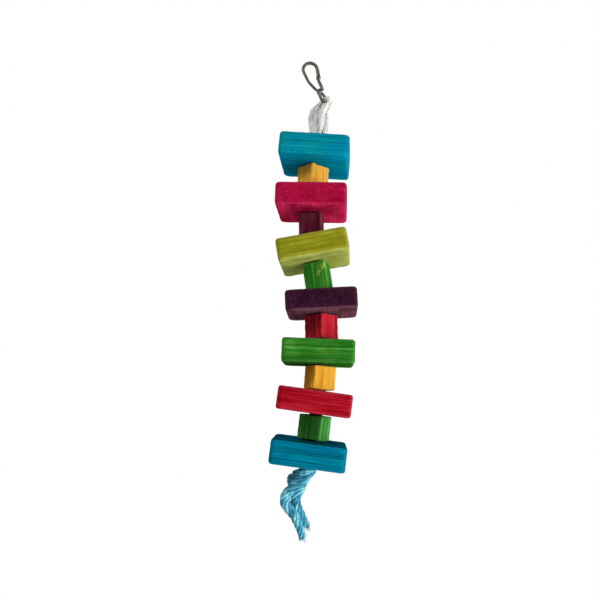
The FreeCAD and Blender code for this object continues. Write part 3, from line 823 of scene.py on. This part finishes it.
def saw_and_knock(mesh, number, rounder):
    """Makes an even mesh as uneven as hand-sawn wood, with knocked edges and, on a block, round corners.
    It stores the edges' wear for the material, and returns half the piece's height."""
    points = np.empty(len(mesh.vertices) * 3)
    mesh.vertices.foreach_get("co", points)
    points = points.reshape(-1, 3)
    normals = np.empty(points.size)
    mesh.vertex_normals.foreach_get("vector", normals)
    normals = normals.reshape(-1, 3)
    low, high = points.min(axis=0), points.max(axis=0)
    depth = np.sort(np.minimum(points - low, high - points), axis=1)
    edge = np.clip(1 - depth[:, 1] / EDGE_REACH, 0, 1)
    corner = edge * np.clip(1 - depth[:, 2] / CORNER_REACH, 0, 1) * rounder
    knock = np.clip(lattice_noise(points / KNOCK_RUN, number * 3 + 1) * 1.4, 0, 1)
    wave = lattice_noise(points / WAVE_RUN, number * 3 + 2)
    rough = lattice_noise(points / ROUGH_RUN, number * 3 + 3)
    outside = np.clip((np.hypot(points[:, 0], points[:, 1]) - BORE_ROOM) / BORE_BLEND, 0, 1)
    inward = WAVE_DEPTH * (wave + 1) / 2 + ROUGH_DEPTH * (rough + 1) / 2
    inward += EDGE_DEPTH * edge ** 2 + KNOCK_DEPTH * edge * knock + CORNER_DEPTH * corner
    points = points - normals * (inward * outside)[:, None]
    mesh.vertices.foreach_set("co", points.ravel())
    wear = mesh.attributes.new("wear", "FLOAT", "POINT")
    wear.data.foreach_set("value", np.clip(edge ** 2 * (0.45 + 0.55 * knock), 0, 1) * 0.75)
    return (high[2] - low[2]) / 2


def sawn_piece(name, joint, number):
    """One wooden piece, which turns about its own bore."""
    up = Vector(joint["axis"])
    nod = -math.asin(up.y)
    lean = math.atan2(up.x, up.z)
    look = {**LOOK_DEFAULTS, **LOOKS[name]}
    basis = Matrix.Rotation(lean, 4, "Y") @ Matrix.Rotation(nod, 4, "X")
    basis = basis @ Matrix.Rotation(math.radians(look["turn"]), 4, "Z")
    place = Matrix.Translation(joint["pos_m"]) @ basis
    mesh = even_mesh(name, place)
    half_height = saw_and_knock(mesh, number, name.startswith("block"))
    mesh.transform(place)
    mesh.polygons.foreach_set("use_smooth", [True] * len(mesh.polygons))
    mesh.update()
    piece = new_piece(name + "_sawn", mesh, dyed_wood(name + "_dyed", place, look, number + 1.0, half_height))
    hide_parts(name)
    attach(piece, name)


def smooth_copy(name, body, material):
    """A copy of a CAD piece with smooth curved faces and crisp edges; the spring's copy has its place baked
    into its mesh and stays unattached, while the others hang from their body."""
    mesh = NODES[name].data.copy()
    work = merged_copy(mesh)
    for face in work.faces:
        face.smooth = True
    for edge in work.edges:
        edge.smooth = len(edge.link_faces) != 2 or edge.calc_face_angle(0.0) < SMOOTH_BEND
    work.to_mesh(mesh)
    work.free()
    piece = new_piece(name + "_plated", mesh, material)
    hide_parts(name)
    if name == "gate_spring":
        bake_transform(piece)
    else:
        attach(piece, body)


def white_to_camera(tree):
    """A factor of 1 for what the camera, a reflection or a clear surface sees directly."""
    rays = add(tree, "ShaderNodeLightPath").outputs
    seen = math_node(tree, "MAXIMUM", rays["Is Camera Ray"], rays["Is Glossy Ray"])
    return math_node(tree, "MAXIMUM", seen, rays["Is Transmission Ray"])


def mix_shaders(tree, share, first, second):
    node = add(tree, "ShaderNodeMixShader", links={"Fac": share, 1: first, 2: second})
    return node.outputs[0]


def make_world():
    """Plain soft light, and a white background."""
    world = bpy.data.worlds.new("studio")
    world.use_nodes = True
    tree = world.node_tree
    tree.nodes.clear()
    soft, white = [add(tree, "ShaderNodeBackground", values={"Color": (1, 1, 1, 1), "Strength": strength})
                   for strength in (WORLD_LIGHT, 1.0)]
    mixed = mix_shaders(tree, white_to_camera(tree), soft.outputs[0], white.outputs[0])
    add(tree, "ShaderNodeOutputWorld", links={"Surface": mixed})
    bpy.context.scene.world = world


def make_floor():
    """A plain pale floor, white to the camera, which keeps the object's shadow."""
    mesh = bpy.data.meshes.new("floor")
    height = CAD_LOW[2] - FLOOR_DROP
    corners = [(-1, -1), (1, -1), (1, 1), (-1, 1)]
    mesh.from_pydata([(x * FLOOR_HALF, y * FLOOR_HALF, height) for x, y in corners], [], [(0, 1, 2, 3)])
    material, tree, surface = shader("floor_pale")
    surface.inputs["Base Color"].default_value = (*grey(0.9), 1)
    surface.inputs["Roughness"].default_value = 0.9
    glow = add(tree, "ShaderNodeEmission", values={"Color": (1, 1, 1, 1), "Strength": FLOOR_WHITE})
    share = math_node(tree, "MULTIPLY", white_to_camera(tree), FLOOR_SHARE)
    mixed = mix_shaders(tree, share, surface.outputs[0], glow.outputs[0])
    tree.links.new(mixed, tree.nodes["Material Output"].inputs["Surface"])
    new_piece("floor", mesh, material)


def area_light(name, place, target, size, power):
    data = bpy.data.lights.new(name, "AREA")
    data.shape = "DISK"
    data.size = size
    data.energy = power
    lamp = bpy.data.objects.new(name, data)
    bpy.context.collection.objects.link(lamp)
    lamp.location = place
    lamp.rotation_euler = (Vector(target) - Vector(place)).to_track_quat("-Z", "Y").to_euler()


def main():
    """The camera and the cords first, then the wood, the metal, the background and the lamps."""
    place_camera()
    make_tail("tail_left_strands", "rope_tail_left", LEFT_TAIL, 0.2)
    make_tail("tail_right_strands", "rope_tail_right", RIGHT_TAIL, 1.1)
    make_rope()
    make_knot()
    turning = [joint for joint in RECORD["behaviour"]["joints"] if joint["name"].endswith("_turn")]
    for number, joint in enumerate(turning):
        sawn_piece(joint["child"], joint, number)
    plating = plated_metal("hook_plating", srgb(74, 68, 61), srgb(88, 81, 74), 0.44, 0.54)
    steel = plated_metal("spring_steel", srgb(120, 116, 110), srgb(160, 156, 150), 0.3, 0.45)
    smooth_copy("hook_body", "hook", plating)
    smooth_copy("hook_gate", "gate", plating)
    smooth_copy("gate_pin", "hook", steel)
    smooth_copy("gate_spring", "hook", steel)
    make_world()
    make_floor()
    for lamp in LAMPS:
        area_light(*lamp)
    bpy.context.scene.view_settings.view_transform = "Standard"


main()
